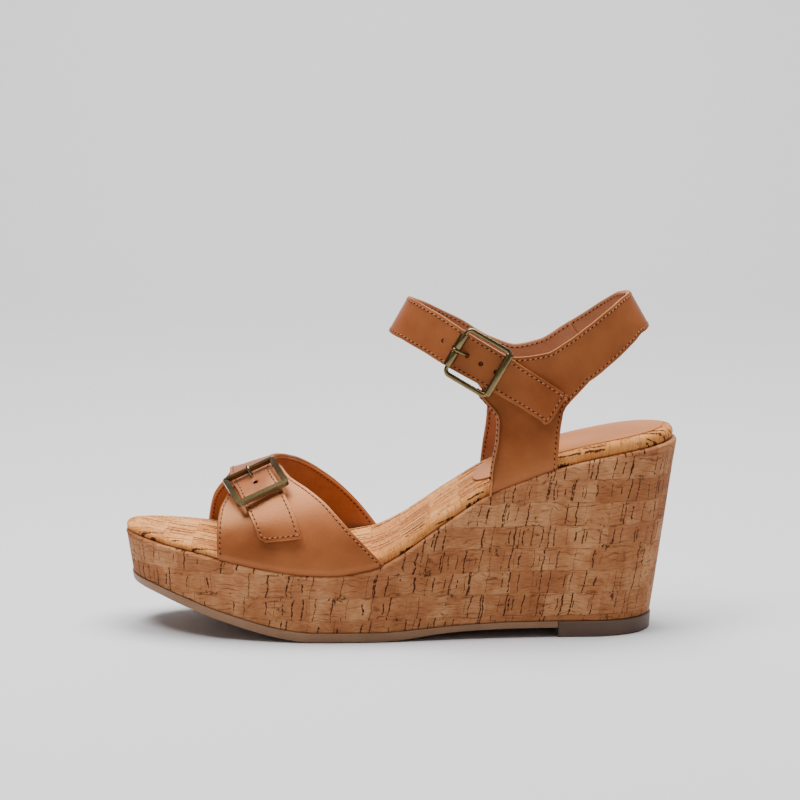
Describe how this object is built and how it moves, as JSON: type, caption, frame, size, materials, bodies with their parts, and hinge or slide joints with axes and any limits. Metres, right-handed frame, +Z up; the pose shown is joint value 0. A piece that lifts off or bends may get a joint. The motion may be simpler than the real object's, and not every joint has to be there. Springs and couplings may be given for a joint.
{
  "type": "platform sandal",
  "caption": "Left cork wedge platform sandal with a buckled toe band, a buckled ankle strap joined to two stays, a cork footbed and a rubber sole.",
  "frame": {"origin": "bottom centre of the shoe's bounding box, on the floor it stands on", "axes": "+X towards the heel, +Y towards the inner side of the foot, +Z up; the toe points to -X and both buckles face -Y"},
  "size_m": [0.2447, 0.089, 0.1498],
  "materials": {
    "cork": "cork veneer over a light core, matte",
    "footbed_cork": "fine cork sheet, matte",
    "leather": "smooth tan, lightly waxed",
    "sock": "plain undyed lining leather",
    "rubber": "brown, matte",
    "brass": "antique brass plate, satin",
    "elastic": "ribbed woven elastic"
  },
  "bodies": {
    "root": {"wedge": "cork", "footbed": "footbed_cork", "heel_sock": "sock", "outsole": "rubber", "heel_lift": "rubber", "vamp_lateral": "leather", "vamp_medial": "leather", "quarter_lateral": "leather", "ankle_strap": "leather", "vamp_buckle_frame": "brass", "vamp_buckle_prong": "brass", "ankle_buckle_frame": "brass", "ankle_buckle_prong": "brass", "ankle_roller_lower": "brass", "ankle_roller_upper": "brass", "elastic_gore": "elastic"}
  },
  "joints": []
}
